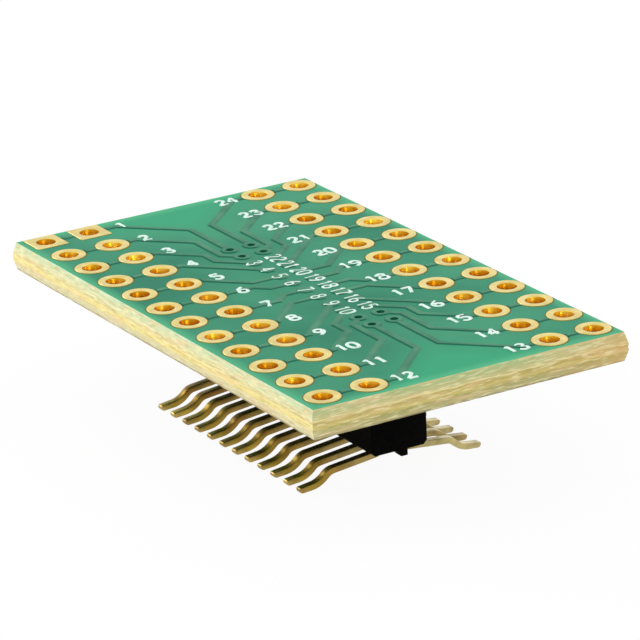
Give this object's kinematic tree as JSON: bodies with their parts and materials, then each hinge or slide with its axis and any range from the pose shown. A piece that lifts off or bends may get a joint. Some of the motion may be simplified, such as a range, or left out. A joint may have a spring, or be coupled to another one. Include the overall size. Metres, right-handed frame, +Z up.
{
  "type": "ic programming adapter",
  "caption": "Circuit board with nested patterns of plated holes, carried on a header whose formed contacts end in gull-wing feet.",
  "frame": {"origin": "on the seating plane of the feet, below the middle of the board's outline", "axes": "+Z up, away from the footprint; +Y along the rows of holes, towards the end with pin 1; pins 1 to 12 are on the -X side"},
  "size_m": [0.0178, 0.0304, 0.0078],
  "materials": {
    "solder_mask": "semi-gloss green mask over glass-epoxy laminate",
    "gold_plate": "thin gold plate, satin",
    "masked_copper": "copper under semi-gloss green mask",
    "body_plastic": "matt moulded black",
    "contact_metal": "plated formed strip, satin",
    "solder": "dull grey"
  },
  "bodies": {
    "root": {"board": "solder_mask", "tracks_left": "masked_copper", "tracks_right": "masked_copper", "header_body": "body_plastic", "solder_joints": "solder", "plated_holes_01": "gold_plate", "contact_01": "contact_metal", "plated_holes_02": "gold_plate", "contact_02": "contact_metal", "plated_holes_03": "gold_plate", "contact_03": "contact_metal", "plated_holes_04": "gold_plate", "contact_04": "contact_metal", "plated_holes_05": "gold_plate", "contact_05": "contact_metal", "plated_holes_06": "gold_plate", "contact_06": "contact_metal", "plated_holes_07": "gold_plate", "contact_07": "contact_metal", "plated_holes_08": "gold_plate", "contact_08": "contact_metal", "plated_holes_09": "gold_plate", "contact_09": "contact_metal", "plated_holes_10": "gold_plate", "contact_10": "contact_metal", "plated_holes_11": "gold_plate", "contact_11": "contact_metal", "plated_holes_12": "gold_plate", "contact_12": "contact_metal", "plated_holes_13": "gold_plate", "contact_13": "contact_metal", "plated_holes_14": "gold_plate", "contact_14": "contact_metal", "plated_holes_15": "gold_plate", "contact_15": "contact_metal", "plated_holes_16": "gold_plate", "contact_16": "contact_metal", "plated_holes_17": "gold_plate", "contact_17": "contact_metal", "plated_holes_18": "gold_plate", "contact_18": "contact_metal", "plated_holes_19": "gold_plate", "contact_19": "contact_metal", "plated_holes_20": "gold_plate", "contact_20": "contact_metal", "plated_holes_21": "gold_plate", "contact_21": "contact_metal", "plated_holes_22": "gold_plate", "contact_22": "contact_metal", "plated_holes_23": "gold_plate", "contact_23": "contact_metal", "plated_holes_24": "gold_plate", "contact_24": "contact_metal"}
  },
  "joints": []
}
